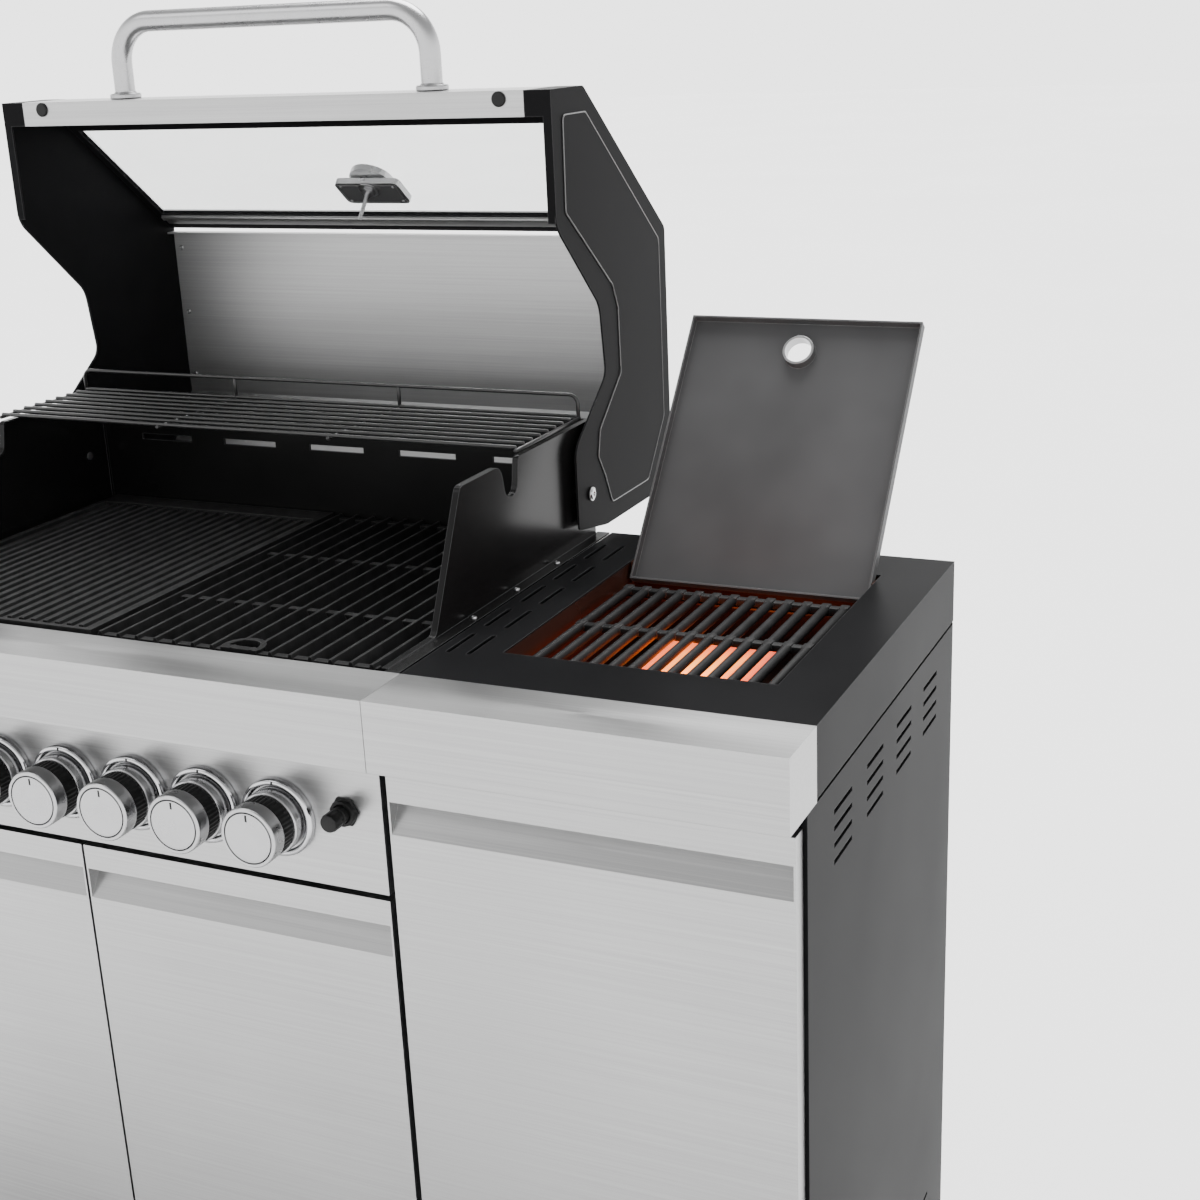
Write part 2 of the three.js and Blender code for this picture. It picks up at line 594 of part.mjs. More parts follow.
function grates() {
  const [y0, y1] = [FIREBOX_FRONT + 6, FIREBOX_BACK - 7];
  const top = GRATE_TOP;
  const bottom = GRATE_TOP - GRATE_THICKNESS;
  const [x0, x1] = [3, grateHalf];
  const width = x1 - x0;
  const pitch = (width - SLAT_WIDTH) / (GRATE_SLATS - 1);
  const slats = Array.from({ length: GRATE_SLATS }, (_, i) => {
    const x = x0 + i * pitch;
    return alongY([[x, bottom], [x + SLAT_WIDTH, bottom], [x + SLAT_WIDTH * 0.62, top], [x + SLAT_WIDTH * 0.38, top]], y0, y1);
  });
  const bars = CROSS_BARS.map((y) => box(x0 + 1, x1 - 1, y, y + 8, bottom + 1, top - 4));
  const ringX = x0 + LIFT_RING_X;
  const ringY = y0 + 9;
  const ring = rod([ringX, ringY, bottom + 0.5], [ringX, ringY, top - 0.5], LIFT_RING, 18);
  const finger = cut(
    rod([ringX, ringY, bottom - OVER], [ringX, ringY, top + OVER], LIFT_RING - 6, 18),
    box(ringX - LIFT_RING, ringX + LIFT_RING, y0 - LIFT_RING, y0 + 8, bottom - 2 * OVER, top + 2 * OVER),
  );
  const inFront = box(ringX - 2 * LIFT_RING, ringX + 2 * LIFT_RING, y0 - 2 * LIFT_RING, y0, bottom - OVER, top + OVER);
  add(grill, 'grate', cut(join(...slats, ...bars, ring), finger, inFront), CAST_IRON);

  const plate = box(-x1, -x0, y0, y1, bottom, top - 5);
  const rim = cut(
    box(-x1, -x0, y0, y1, bottom + 1, top),
    box(-x1 + 8, -x0 - 8, y0 + 5, y1 - GRIDDLE_BACK + 2, bottom, top + OVER),
  );
  const ribPitch = (width - 16) / (GRIDDLE_RIBS + 1);
  const ribs = Array.from({ length: GRIDDLE_RIBS }, (_, i) => {
    const x = -x1 + 8 + (i + 1) * ribPitch;
    return alongY([[x - 4, top - 6], [x + 4, top - 6], [x + 2.5, top - 1.5], [x - 2.5, top - 1.5]], y0 + 14, y1 - GRIDDLE_BACK);
  });
  const drain = rod([-(x0 + x1) / 2, y0 + 16, bottom - OVER], [-(x0 + x1) / 2, y0 + 16, top + OVER], 5, 12);
  add(grill, 'griddle', cut(join(plate, rim, ...ribs), drain), CAST_IRON);

  const rackEnd = (wallInner + wallOuter) / 2;
  const r = WIRE_RADIUS;
  const wirePitch = RACK_DEPTH / (RACK_WIRES - 1);
  const wires = Array.from({ length: RACK_WIRES }, (_, i) => {
    const y = RACK_FRONT + i * wirePitch;
    return rod([-rackEnd, y, RACK_Z + 2 * r], [rackEnd, y, RACK_Z + 2 * r], r, 6);
  });
  const rackBack = RACK_FRONT + RACK_DEPTH;
  const ties = [-rackEnd, -rackEnd / 3, rackEnd / 3, rackEnd].map(
    (x) => rod([x, RACK_FRONT - 4, RACK_Z + r * 0.6], [x, rackBack + 4, RACK_Z + r * 0.6], r, 6));
  const railZ = RACK_Z + RACK_RAIL + 2 * r;
  const rail = rod([-rackEnd, rackBack, railZ], [rackEnd, rackBack, railZ], r, 6);
  const posts = [-rackEnd, -rackEnd / 3, rackEnd / 3, rackEnd].map(
    (x) => rod([x, rackBack, RACK_Z], [x, rackBack, railZ + r * 0.5], r, 6));
  add(grill, 'warming_rack', join(...wires, ...ties, rail, ...posts), CHROME);
}

// An (x, z) outline carried along Y from y0 to y1.
function alongY(outline, y0, y1) {
  const shape = new THREE.Shape(outline.map((p) => new THREE.Vector2(...p)));
  const geometry = new THREE.ExtrudeGeometry(shape, { depth: y1 - y0, bevelEnabled: false });
  geometry.applyMatrix4(new THREE.Matrix4().makeBasis(
    new THREE.Vector3(1, 0, 0), new THREE.Vector3(0, 0, 1), new THREE.Vector3(0, -1, 0)));
  geometry.translate(0, y1, 0);
  return toSolid(geometry);
}

// ---------------------------------------------------------------- hood, drawn closed

const bandTop = HOOD_BOTTOM + BAND_HEIGHT;
const hoodInner = mainHalf - 1 - HOOD_SHEET - GAP;

function hoodSides() {
  const corners = [
    [HOOD_FRONT, HOOD_BOTTOM, 3], [211, HOOD_BOTTOM, 14], [308, 104, 12], [388, 114, 12],
    [455, 24, 14], [547, 24, 5], [HOOD_BACK, SKIN_END, 6], [HOOD_BACK, HOOD_BACK_TOP, 6], [ROOF_BACK, ROOF_Z, 6],
    [ROOF_FRONT, ROOF_Z, 6], [HOOD_FRONT, bandTop, 4],
  ];
  const outline = roundedOutline(corners);
  const field = roundedOutline([
    [98, 28, 8], [198, 25, 12], [290, 138, 14], [318, 151, 10], [393, 152, 14], [446, 88, 14],
    [476, 81, 10], [503, 98, 8], [537, 114, 8], [537, 221, 12], [470, 276, 12], [256, 276, 12], [98, 84, 10],
  ]);
  const capDepth = 32;
  const cap = box(mainHalf - capDepth, mainHalf - 1, HOOD_FRONT, HOOD_FRONT + BAND_DEPTH, HOOD_BOTTOM, bandTop - 4);
  const plate = mainHalf - 1 - HOOD_SHEET;
  const side = join(
    alongX(outline, plate, mainHalf - 1),
    alongX(field, plate + 1, mainHalf),
    box(mainHalf - HOOD_SIDE_DEPTH, plate + 1, HOOD_FRONT, 207, HOOD_BOTTOM, HOOD_BOTTOM + HOOD_SHEET),
    cut(cap, box(mainHalf - capDepth - OVER, mainHalf - 4, HOOD_FRONT + HOOD_SHEET, HOOD_FRONT + BAND_DEPTH + OVER,
      HOOD_BOTTOM + HOOD_SHEET, bandTop - 4 + OVER)),
  );
  const pinHole = rod([0, HINGE_Y, HINGE_Z], [mainHalf + OVER, HINGE_Y, HINGE_Z], 5 + GAP, 14);
  addPair('hood_side', cut(side, pinHole), BLACK_PAINT, addHood);
}

function hoodBand() {
  const half = mainHalf - 32 - GAP;
  const profile = foldedSheet([
    [HOOD_FRONT + 22, bandTop - 8], [HOOD_FRONT, bandTop - 8], [HOOD_FRONT, HOOD_BOTTOM],
    [HOOD_FRONT + BAND_DEPTH, HOOD_BOTTOM], [HOOD_FRONT + BAND_DEPTH, HOOD_BOTTOM + 14],
  ], HOOD_SHEET);
  const feet = [-1, 1].map((side) => HANDLE_SHIFT + side * HANDLE_SPAN / 2).map(
    (x) => rod([x, 0, HANDLE_Z], [x, HOOD_FRONT + OVER, HANDLE_Z], 6.4, 12));
  addHood('hood_band', cut(alongX(profile, -half, half), ...feet), STAINLESS);
}

// The window lies in the slope between the band and the roof. Its own frame has x
// across, s up the slope and d outwards.
function slope() {
  const foot = new THREE.Vector3(0, HOOD_FRONT, bandTop);
  const head = new THREE.Vector3(0, ROOF_FRONT, ROOF_Z);
  const up = head.clone().sub(foot);
  const length = up.length();
  up.normalize();
  const out = new THREE.Vector3(1, 0, 0).cross(up);
  const place = new THREE.Matrix4().makeBasis(new THREE.Vector3(1, 0, 0), up, out);
  place.setPosition(foot);
  return { length, place };
}

function slab(place, x, s0, s1, d0, d1) {
  const geometry = new THREE.BoxGeometry(2 * x, s1 - s0, d1 - d0);
  geometry.translate(0, (s0 + s1) / 2, (d0 + d1) / 2);
  geometry.applyMatrix4(place);
  return toSolid(geometry);
}

function slopeRod(place, s, d0, d1, radius, sides) {
  const geometry = new THREE.CylinderGeometry(radius, radius, d1 - d0, sides);
  geometry.rotateX(Math.PI / 2);
  geometry.translate(GAUGE_X, s, (d0 + d1) / 2);
  geometry.applyMatrix4(place);
  return toSolid(geometry);
}

function hoodWindow() {
  const { length, place } = slope();
  const glassTop = WINDOW_LOW + WINDOW_HEIGHT;
  const glassHalf = hoodInner - WINDOW_SIDE;
  const frame = cut(
    slab(place, hoodInner, 3, length - 3, -FRAME_DEPTH, 0),
    slab(place, glassHalf, WINDOW_LOW, glassTop, -FRAME_DEPTH - OVER, OVER),
  );
  addHood('window_frame', frame, BLACK_PAINT);
  const glassFront = -0.5;
  const glassBack = glassFront - GLASS;
  const glass = cut(
    slab(place, glassHalf - GAP, WINDOW_LOW + GAP, glassTop - GAP, glassBack, glassFront),
    slopeRod(place, PROBE_UP, glassBack - OVER, glassFront + OVER, 5, 14),
  );
  addHood('hood_window', glass, GLASS_CLEAR);
  const housing = roundedOutline([
    [GAUGE_X - 45, GAUGE_UP - 22, 8], [GAUGE_X + 45, GAUGE_UP - 22, 8],
    [GAUGE_X + 45, GAUGE_UP + 22, 8], [GAUGE_X - 45, GAUGE_UP + 22, 8]]);
  const plate = new THREE.ExtrudeGeometry(housing, { depth: 8, curveSegments: 3, bevelEnabled: false });
  plate.translate(0, 0, glassBack - GAP - 8);
  plate.applyMatrix4(place);
  const inner = glassBack - GAP - 8;
  const thermometer = join(
    toSolid(plate),
    slopeRod(place, PROBE_UP, glassFront + GAP, glassFront + 8, 28, 28),
    slopeRod(place, PROBE_UP, glassBack - 4, glassFront + 4, 4.5, 12),
    slopeRod(place, PROBE_UP, inner - 6, inner + 1, 9, 6),
    slopeRod(place, PROBE_UP, inner - 6 - PROBE_LENGTH, inner, 2.6, 10),
  );
  addHood('thermometer', thermometer, STAINLESS);
}

function hoodRoof() {
  const profile = foldedSheet([
    [ROOF_FRONT + 11, ROOF_Z - 16], [ROOF_FRONT + 11, ROOF_Z], [ROOF_BACK, ROOF_Z],
    [HOOD_BACK, HOOD_BACK_TOP], [HOOD_BACK, SKIN_END],
  ].reverse(), HOOD_SHEET);
  addHood('hood_roof', alongX(profile, -hoodInner, hoodInner), STAINLESS);
}

// A round bar bent at both ends, each end screwed to the band through its collar.
function hoodHandle() {
  const foot = HOOD_FRONT - GAP;
  const crown = HOOD_FRONT - HANDLE_REACH;
  const half = HANDLE_SPAN / 2;
  const path = new THREE.CurvePath();
  const point = (x, y) => new THREE.Vector3(HANDLE_SHIFT + x, y, HANDLE_Z);
  const quarter = 4 * (Math.SQRT2 - 1) / 3 * HANDLE_BEND;
  const bend = (side) => {
    const a = point(side * half, crown + HANDLE_BEND);
    const b = point(side * (half - HANDLE_BEND), crown);
    return [a, point(side * half, crown + HANDLE_BEND - quarter), point(side * (half - HANDLE_BEND + quarter), crown), b];
  };
  const right = bend(1);
  const left = bend(-1);
  path.add(new THREE.LineCurve3(point(half, foot), right[0]));
  path.add(new THREE.CubicBezierCurve3(...right));
  path.add(new THREE.LineCurve3(right[3], left[3]));
  path.add(new THREE.CubicBezierCurve3(...left.reverse()));
  path.add(new THREE.LineCurve3(left[3], point(-half, foot)));
  const section = new THREE.Shape().absarc(0, 0, HANDLE_RADIUS, 0, 2 * Math.PI);
  const bar = new THREE.ExtrudeGeometry(section, { steps: 40, curveSegments: 5, extrudePath: path });
  const collars = [HANDLE_SHIFT - half, HANDLE_SHIFT + half].flatMap((x) => [
    rod([x, foot - 6, HANDLE_Z], [x, foot, HANDLE_Z], HANDLE_RADIUS + 6, 20),
    rod([x, foot - 1, HANDLE_Z], [x, HOOD_FRONT + 12, HANDLE_Z], 6, 12),
  ]);
  addHood('hood_handle', join(toSolid(bar), ...collars), STAINLESS);
}

// ---------------------------------------------------------------- side burner

function sideBurner() {
  const under = -SHEET - GAP;
  const outer = [wellX0 - 4, wellX1 + 4, WELL_FRONT - 4, wellY1 + 4];
  const pan = cut(
    join(
      box(...outer, WELL_FLOOR, under),
      box(outer[0] - 10, outer[1] + 10, outer[2] - 10, outer[3] + 10, under - SHEET, under),
    ),
    box(outer[0] + SHEET, outer[1] - SHEET, outer[2] + SHEET, outer[3] - SHEET, WELL_FLOOR + SHEET, OVER),
  );
  const ledge = SIDE_GRATE_TOP - 2 * SIDE_BAR_RADIUS - GAP;
  const grateMid = (wellX0 + wellX1) / 2 - 2;
  const grateFront = WELL_FRONT + 16;
  const grateBack = lidPivotY - 41;
  const ledges = [grateFront, grateBack - 12].map(
    (y) => box(outer[0] + 1, outer[1] - 1, y, y + 10, ledge - SHEET, ledge));
  const ears = [[wellX0 + GAP, wellX0 + LID_CLEARANCE - 0.6], [wellX1 - LID_CLEARANCE + 0.6, wellX1 - GAP]].map(
    ([x0, x1]) => box(x0, x1, lidPivotY - 6, lidPivotY + 6, LID_PIVOT_Z - 22, LID_PIVOT_Z + 4.5));
  const webs = [[outer[0] + 1, wellX0 + 1], [wellX1 - 1, outer[1] - 1]].map(
    ([x0, x1]) => box(x0, x1, lidPivotY - 6, lidPivotY + 6, LID_PIVOT_Z - 22, LID_PIVOT_Z - 20));
  const bore = rod([wellX0 - 1, lidPivotY, LID_PIVOT_Z], [wellX1 + 1, lidPivotY, LID_PIVOT_Z],
    LID_PIN_RADIUS + GAP, 12);
  add(grill, 'side_burner_pan', cut(join(pan, ...ledges, ...ears, ...webs), bore), BLACK_ENAMEL);

  const grateHalfWidth = WELL_WIDTH / 2 - SIDE_GRATE_MARGIN;
  const barPitch = 2 * grateHalfWidth / (SIDE_GRATE_BARS - 1);
  const r = SIDE_BAR_RADIUS;
  const bars = Array.from({ length: SIDE_GRATE_BARS }, (_, i) => {
    const x = grateMid - grateHalfWidth + i * barPitch;
    return rod([x, grateFront, SIDE_GRATE_TOP - r], [x, grateBack, SIDE_GRATE_TOP - r], r, 6);
  });
  const crossing = [grateFront + 1, (grateFront + grateBack) / 2 - 5, grateBack - 11].map(
    (y) => box(grateMid - grateHalfWidth, grateMid + grateHalfWidth, y, y + 10,
      SIDE_GRATE_TOP - 2 * r + 0.5, SIDE_GRATE_TOP - 2));
  add(grill, 'side_grate', join(...bars, ...crossing), CAST_IRON);

  const tileMid = grateMid;
  const tileY = (grateFront + grateBack) / 2;
  const tile = [tileMid - CERAMIC_WIDTH / 2, tileMid + CERAMIC_WIDTH / 2,
    tileY - CERAMIC_DEPTH / 2, tileY + CERAMIC_DEPTH / 2];
  const body = cut(
    box(tile[0] - 8, tile[1] + 8, tile[2] - 8, tile[3] + 8, WELL_FLOOR + SHEET + GAP, CERAMIC_Z + 2),
    box(tile[0] - GAP, tile[1] + GAP, tile[2] - GAP, tile[3] + GAP, CERAMIC_Z - 12 - GAP, CERAMIC_Z + OVER),
  );
  add(grill, 'side_burner_body', body, STAINLESS);
  add(grill, 'side_burner_ceramic', box(...tile, CERAMIC_Z - 12, CERAMIC_Z), CERAMIC);
}

function sideLid() {
  const [x0, x1] = [wellX0 + LID_CLEARANCE, wellX1 - LID_CLEARANCE];
  const [y0, y1] = [WELL_FRONT + LID_CLEARANCE, wellY1 - LID_CLEARANCE];
  const middle = (x0 + x1) / 2;
  const holeY = y0 + 40;
  const shell = cut(
    box(x0, x1, y0, y1, -LID_THICKNESS, 0),
    box(x0 + SHEET, x1 - SHEET, y0 + SHEET, y1 - SHEET, -LID_THICKNESS - OVER, -SHEET),
  );
  const pins = [[x0 - LID_CLEARANCE + 2 * GAP, x0 + 1], [x1 - 1, x1 + LID_CLEARANCE - 2 * GAP]].map(
    ([from, to]) => rod([from, lidPivotY, LID_PIVOT_Z], [to, lidPivotY, LID_PIVOT_Z], LID_PIN_RADIUS, 12));
  const rim = rod([middle, holeY, -LID_THICKNESS], [middle, holeY, 0], FINGER_HOLE + SHEET, 24);
  const hole = rod([middle, holeY, -LID_THICKNESS - OVER], [middle, holeY, OVER], FINGER_HOLE, 24);
  addLid('side_burner_lid', cut(join(shell, rim, ...pins), hole), BLACK_PAINT);
}

cabinet();
doors();
worktop();
controls();
firebox();
grates();
hoodSides();
hoodBand();
hoodWindow();
hoodRoof();
hoodHandle();
sideBurner();
sideLid();

grill.position.set(0, -originY, DECK_HEIGHT);
const part = new THREE.Group();
part.add(grill);

export default part;
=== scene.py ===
import json
import math

import bmesh
import bpy
from mathutils import Matrix, Vector

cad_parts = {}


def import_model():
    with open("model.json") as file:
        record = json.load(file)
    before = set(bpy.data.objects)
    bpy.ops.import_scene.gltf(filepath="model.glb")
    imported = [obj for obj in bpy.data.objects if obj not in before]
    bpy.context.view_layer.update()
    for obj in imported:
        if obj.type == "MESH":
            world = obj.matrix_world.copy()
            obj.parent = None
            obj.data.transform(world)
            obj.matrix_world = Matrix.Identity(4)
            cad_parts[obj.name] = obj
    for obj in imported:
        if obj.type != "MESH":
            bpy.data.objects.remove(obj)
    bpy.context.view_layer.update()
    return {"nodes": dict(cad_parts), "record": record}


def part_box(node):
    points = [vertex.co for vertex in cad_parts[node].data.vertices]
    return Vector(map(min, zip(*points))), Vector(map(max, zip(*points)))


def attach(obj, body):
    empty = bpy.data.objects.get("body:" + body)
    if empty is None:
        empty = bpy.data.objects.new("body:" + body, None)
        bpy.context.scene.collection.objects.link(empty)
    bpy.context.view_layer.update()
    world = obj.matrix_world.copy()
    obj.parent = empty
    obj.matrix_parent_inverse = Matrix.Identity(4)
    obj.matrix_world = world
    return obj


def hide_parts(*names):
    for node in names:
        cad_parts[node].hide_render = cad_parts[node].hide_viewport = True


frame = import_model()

NODES = frame["nodes"]

# ------------------------------------------------------------------ places
# Sizes below are in millimetres in the worktop's own frame: x from the middle of the
# grill, y from the front edge, z from the worktop. world() puts them in the row frame.

DECK_Y = 0.363
DECK_Z = 0.905
HOOD_PIVOT = (513.0, 57.0)
LID_PIVOT = (464.3, -5.5)
LID_OPEN = math.radians(129.5)


def world(x, y, z):
    return Vector((x / 1000, y / 1000 - DECK_Y, z / 1000 + DECK_Z))


def hood(x, y, z):
    """A point of the closed hood, at its open rest place."""
    return world(x, HOOD_PIVOT[0] + z - HOOD_PIVOT[1], HOOD_PIVOT[1] + HOOD_PIVOT[0] - y)


def hood_way(y, z):
    return Vector((0, z, -y)).normalized()


def lid(x, y, z):
    """A point of the closed side lid, at its open rest place."""
    dy = y - LID_PIVOT[0]
    dz = z - LID_PIVOT[1]
    c, s = math.cos(LID_OPEN), math.sin(LID_OPEN)
    return world(x, LID_PIVOT[0] + dy * c + dz * s, LID_PIVOT[1] - dy * s + dz * c)


def lid_way(y, z):
    c, s = math.cos(LID_OPEN), math.sin(LID_OPEN)
    return Vector((0, y * c + z * s, -y * s + z * c)).normalized()


SLOPE_FOOT = Vector((71.0, 83.0))
SLOPE_UP = Vector((174.0, 215.0)).normalized()


def window(x, s, d):
    """x across, s up the hood's window slope from its lower edge, d outwards."""
    y = SLOPE_FOOT.x + SLOPE_UP.x * s - SLOPE_UP.y * d
    z = SLOPE_FOOT.y + SLOPE_UP.y * s + SLOPE_UP.x * d
    return hood(x, y, z)


WINDOW_IN = hood_way(SLOPE_UP.y, -SLOPE_UP.x)

# ------------------------------------------------------------------ materials


class Nodes:
    """A short way to write a node tree."""

    def __init__(self, name):
        self.mat = bpy.data.materials.new(name)
        self.mat.use_nodes = True
        self.tree = self.mat.node_tree
        self.bsdf = self.tree.nodes["Principled BSDF"]
        self.place = self.add("ShaderNodeTexCoord").outputs["Object"]

    def add(self, kind, **values):
        node = self.tree.nodes.new(kind)
        for key, value in values.items():
            setattr(node, key, value)
        return node

    def join(self, source, target):
        self.tree.links.new(source, target)

    def noise(self, scale, stretch=(1, 1, 1), detail=3.0, rough=0.55):
        mapping = self.add("ShaderNodeMapping")
        mapping.inputs["Scale"].default_value = stretch
        self.join(self.place, mapping.inputs["Vector"])
        tex = self.add("ShaderNodeTexNoise")
        tex.inputs["Scale"].default_value = scale
        tex.inputs["Detail"].default_value = detail
        tex.inputs["Roughness"].default_value = rough
        self.join(mapping.outputs["Vector"], tex.inputs["Vector"])
        return tex.outputs["Fac"]

    def ramp(self, fac, stops):
        node = self.add("ShaderNodeValToRGB")
        ramp = node.color_ramp
        while len(ramp.elements) < len(stops):
            ramp.elements.new(0.5)
        for element, (at, color) in zip(ramp.elements, stops):
            element.position = at
            value = color if isinstance(color, tuple) else (color, color, color)
            element.color = (*value, 1)
        self.join(fac, node.inputs["Fac"])
        return node.outputs["Color"]

    def span(self, fac, low, high):
        node = self.add("ShaderNodeMapRange")
        node.inputs["To Min"].default_value = low
        node.inputs["To Max"].default_value = high
        self.join(fac, node.inputs["Value"])
        return node.outputs["Result"]

    def mix(self, fac, a, b):
        node = self.add("ShaderNodeMix", data_type="RGBA")
        for value, key in ((fac, 0), (a, 6), (b, 7)):
            if isinstance(value, bpy.types.NodeSocket):
                self.join(value, node.inputs[key])
            else:
                node.inputs[key].default_value = value if key == 0 else (*value, 1)
        return node.outputs[2]

    def math(self, operation, a, b=0.0):
        node = self.add("ShaderNodeMath", operation=operation)
        for value, key in ((a, 0), (b, 1)):
            if isinstance(value, bpy.types.NodeSocket):
                self.join(value, node.inputs[key])
            else:
                node.inputs[key].default_value = value
        return node.outputs[0]

    def bump(self, height, strength, distance, edge=0.0006):
        bevel = self.add("ShaderNodeBevel", samples=4)
        bevel.inputs["Radius"].default_value = edge
        node = self.add("ShaderNodeBump")
        node.inputs["Strength"].default_value = strength
        node.inputs["Distance"].default_value = distance
        self.join(height, node.inputs["Height"])
        self.join(bevel.outputs["Normal"], node.inputs["Normal"])
        self.join(node.outputs["Normal"], self.bsdf.inputs["Normal"])

    def painted_edge_highlight(self, amount=1.0):
        """Where an edge turns, from the difference between the rounded and the flat normal: a mask
        that paints edge highlights into the colour.
        """
        bevel = self.add("ShaderNodeBevel", samples=4)
        bevel.inputs["Radius"].default_value = 0.0012
        flat = self.add("ShaderNodeNewGeometry")
        dot = self.add("ShaderNodeVectorMath", operation="DOT_PRODUCT")
        self.join(bevel.outputs["Normal"], dot.inputs[0])
        self.join(flat.outputs["Normal"], dot.inputs[1])
        turned = self.math("SUBTRACT", 1.0, dot.outputs["Value"])
        return self.math("MULTIPLY", turned, 4.0 * amount)

    def base(self, color):
        self.put("Base Color", color)

    def put(self, key, value):
        socket = self.bsdf.inputs[key]
        if isinstance(value, bpy.types.NodeSocket):
            self.join(value, socket)
        else:
            socket.default_value = (*value, 1) if isinstance(value, tuple) else value


def shade(color, by):
    return tuple(by * c for c in color)


def brushed(name, low, high, rough_low, rough_high, along=0, strength=0.10):
    """Steel with fine grinding lines along one axis, and broad soft patches."""
    n = Nodes(name)
    stretch = [420.0, 420.0, 420.0]
    stretch[along] = 2.2
    lines = n.noise(1.0, tuple(stretch), 4.0, 0.7)
    patches = n.noise(3.0, (1, 1, 1), 2.0)
    both = n.math("ADD", n.math("MULTIPLY", lines, 0.7), n.math("MULTIPLY", patches, 0.3))
    n.base(n.ramp(both, [(0.30, low), (0.70, high)]))
    n.put("Metallic", 1.0)
    n.put("Roughness", n.span(both, rough_low, rough_high))
    n.put("Anisotropic", 0.35)
    n.bump(lines, strength, 0.0004)
    return n.mat


def coated(name, base, rough, grain, strength,
           edge=(0.07, 0.07, 0.072), shine=0.25, ior=1.5):
    """Powder coat or enamel: fine orange-peel, and slightly lighter edges, a painted edge highlight.
    """
    n = Nodes(name)
    grains = n.noise(grain, (1, 1, 1), 2.0)
    clouds = n.noise(5.0, (1, 1, 1), 3.0)
    color = n.ramp(clouds, [(0.35, shade(base, 0.85)), (0.65, shade(base, 1.2))])
    # painted edge highlight: turned edges mixed towards the lighter edge colour
    n.base(n.mix(n.math("MINIMUM", n.painted_edge_highlight(), 0.75), color, edge))
    n.put("Roughness", n.span(clouds, rough - 0.05, rough + 0.07))
    n.put("IOR", ior)
    n.put("Specular IOR Level", shine)
    n.bump(grains, strength, 0.0003)
    return n.mat


def cast(name, base):
    """Seasoned cast iron: rough skin, and ridges painted lighter, a painted highlight."""
    n = Nodes(name)
    skin = n.noise(700.0, (1, 1, 1), 4.0, 0.7)
    spots = n.noise(60.0, (1, 1, 1), 3.0)
    color = n.ramp(spots, [(0.35, shade(base, 0.7)), (0.7, shade(base, 1.35))])
    # painted highlight: the ridges mixed towards a lighter grey
    n.base(n.mix(n.math("MINIMUM", n.painted_edge_highlight(1.4), 0.7), color, (0.055, 0.055, 0.055)))
    n.put("Roughness", n.span(skin, 0.46, 0.66))
    n.put("Specular IOR Level", 0.5)
    n.put("IOR", 1.2)
    n.bump(skin, 0.35, 0.0006, 0.0009)
    return n.mat


def polished(name, color, rough):
    n = Nodes(name)
    haze = n.noise(40.0, (1, 1, 1), 3.0)
    n.base(n.ramp(haze, [(0.3, shade(color, 0.94)), (0.7, color)]))
    n.put("Metallic", 1.0)
    n.put("Roughness", n.span(haze, rough, rough + 0.08))
    n.bump(n.noise(900.0), 0.03, 0.0002)
    return n.mat


def plastic(name, base, rough):
    n = Nodes(name)
    grain = n.noise(1200.0, (1, 1, 1), 2.0)
    n.base(n.ramp(grain, [(0.3, shade(base, 0.8)), (0.7, shade(base, 1.2))]))
    n.put("Roughness", n.span(grain, rough - 0.05, rough + 0.05))
    n.put("IOR", 1.25)
    n.bump(grain, 0.12, 0.0002)
    return n.mat


def glass(name):
    n = Nodes(name)
    haze = n.noise(6.0, (1, 1, 1), 2.0)
    n.base(n.ramp(haze, [(0.3, (0.93, 0.945, 0.94)), (0.7, (0.965, 0.975, 0.97))]))
    n.put("Transmission Weight", 1.0)
    n.put("IOR", 1.46)
    n.put("Roughness", n.span(haze, 0.0, 0.02))
    return n.mat


HOLE_PITCH = 0.004       # between the ceramic's holes, in metres


def glowing(name):
    """Perforated ceramic: a fine grid of holes, hottest in the middle."""
    n = Nodes(name)
    low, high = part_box("side_burner_ceramic")
    middle = (low + high) / 2
    parts = n.add("ShaderNodeSeparateXYZ")
    n.join(n.place, parts.inputs[0])
    pitch = 2 * math.pi / HOLE_PITCH
    waves = [n.math("SINE", n.math("MULTIPLY", parts.outputs[i], pitch)) for i in (0, 1)]
    grid = n.math("MULTIPLY", waves[0], waves[1])
    far_x = n.math("ABSOLUTE", n.math("SUBTRACT", parts.outputs[0], middle.x))
    far_y = n.math("ABSOLUTE", n.math("SUBTRACT", parts.outputs[1], middle.y))
    far = n.math("MAXIMUM", n.math("DIVIDE", far_x, (high.x - low.x) / 2),
                 n.math("DIVIDE", far_y, (high.y - low.y) / 2))
    patch = n.math("MULTIPLY", n.math("SUBTRACT", n.noise(22.0), 0.5), 0.35)
    heat = n.math("SUBTRACT", 1.0, n.math("ADD", far, patch))
    color = n.ramp(heat, [(0.0, (0.60, 0.020, 0.0)), (0.30, (1.0, 0.16, 0.002)),
                          (0.75, (1.0, 0.44, 0.035))])
    n.base((0.35, 0.16, 0.10))
    n.put("Roughness", 0.85)
    n.put("Emission Color", color)
    n.put("Emission Strength", n.math("ADD", 2.6, n.math("MULTIPLY", grid, 1.5)))
    n.bump(grid, 0.4, 0.0008)
    return n.mat


